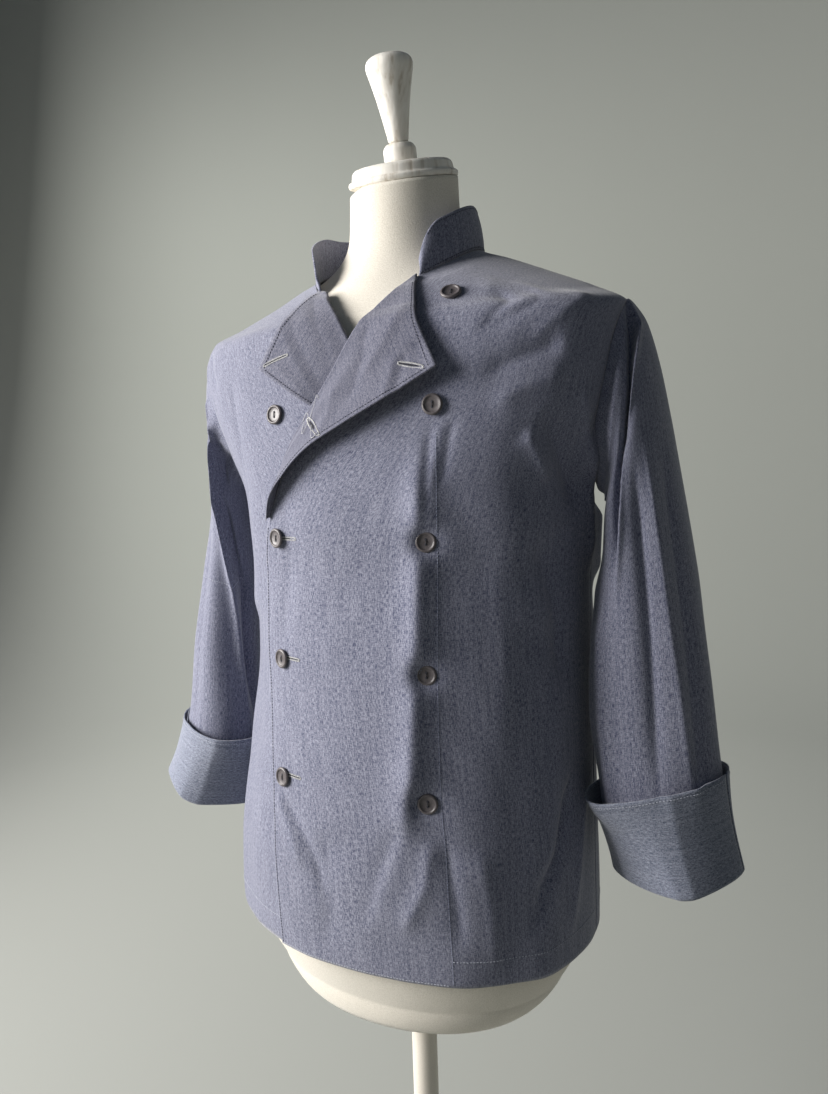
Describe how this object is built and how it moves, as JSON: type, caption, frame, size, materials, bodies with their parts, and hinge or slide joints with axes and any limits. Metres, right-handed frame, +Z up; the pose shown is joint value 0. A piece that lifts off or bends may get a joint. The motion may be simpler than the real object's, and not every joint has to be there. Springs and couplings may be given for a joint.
{
  "type": "chef jacket on a dress form",
  "caption": "Double-breasted chef jacket with folded lapels, standing collar and turned-back cuffs, worn by a limbless dress form on a round stand.",
  "frame": {"origin": "centre of the stand's underside, on the surface it stands on", "axes": "+Z up, the jacket's front faces -Y, +X is the wearer's left"},
  "size_m": [0.7024, 0.38, 1.6211],
  "materials": {
    "chambray": "blue-grey chambray twill, matt",
    "button": "grey-brown polyester, soft gloss",
    "form_cover": "cream cotton cover, matt",
    "washed_wood": "white-washed turned wood",
    "stand_paint": "cream powder coat"
  },
  "bodies": {
    "root": {"back": "chambray", "front_left": "chambray", "front_right": "chambray", "lapel_left": "chambray", "lapel_right": "chambray", "collar": "chambray", "sleeve_left": "chambray", "sleeve_right": "chambray", "cuff_left": "chambray", "cuff_right": "chambray", "button_left_5": "button", "button_left_4": "button", "button_left_3": "button", "button_left_2": "button", "button_left_1": "button", "button_right_5": "button", "button_right_4": "button", "button_right_3": "button", "button_right_2": "button", "form_torso": "form_cover", "form_neck_cap": "washed_wood", "form_finial_ring": "washed_wood", "form_finial_handle": "washed_wood", "stand_base": "stand_paint", "stand_pole": "stand_paint"}
  },
  "joints": []
}
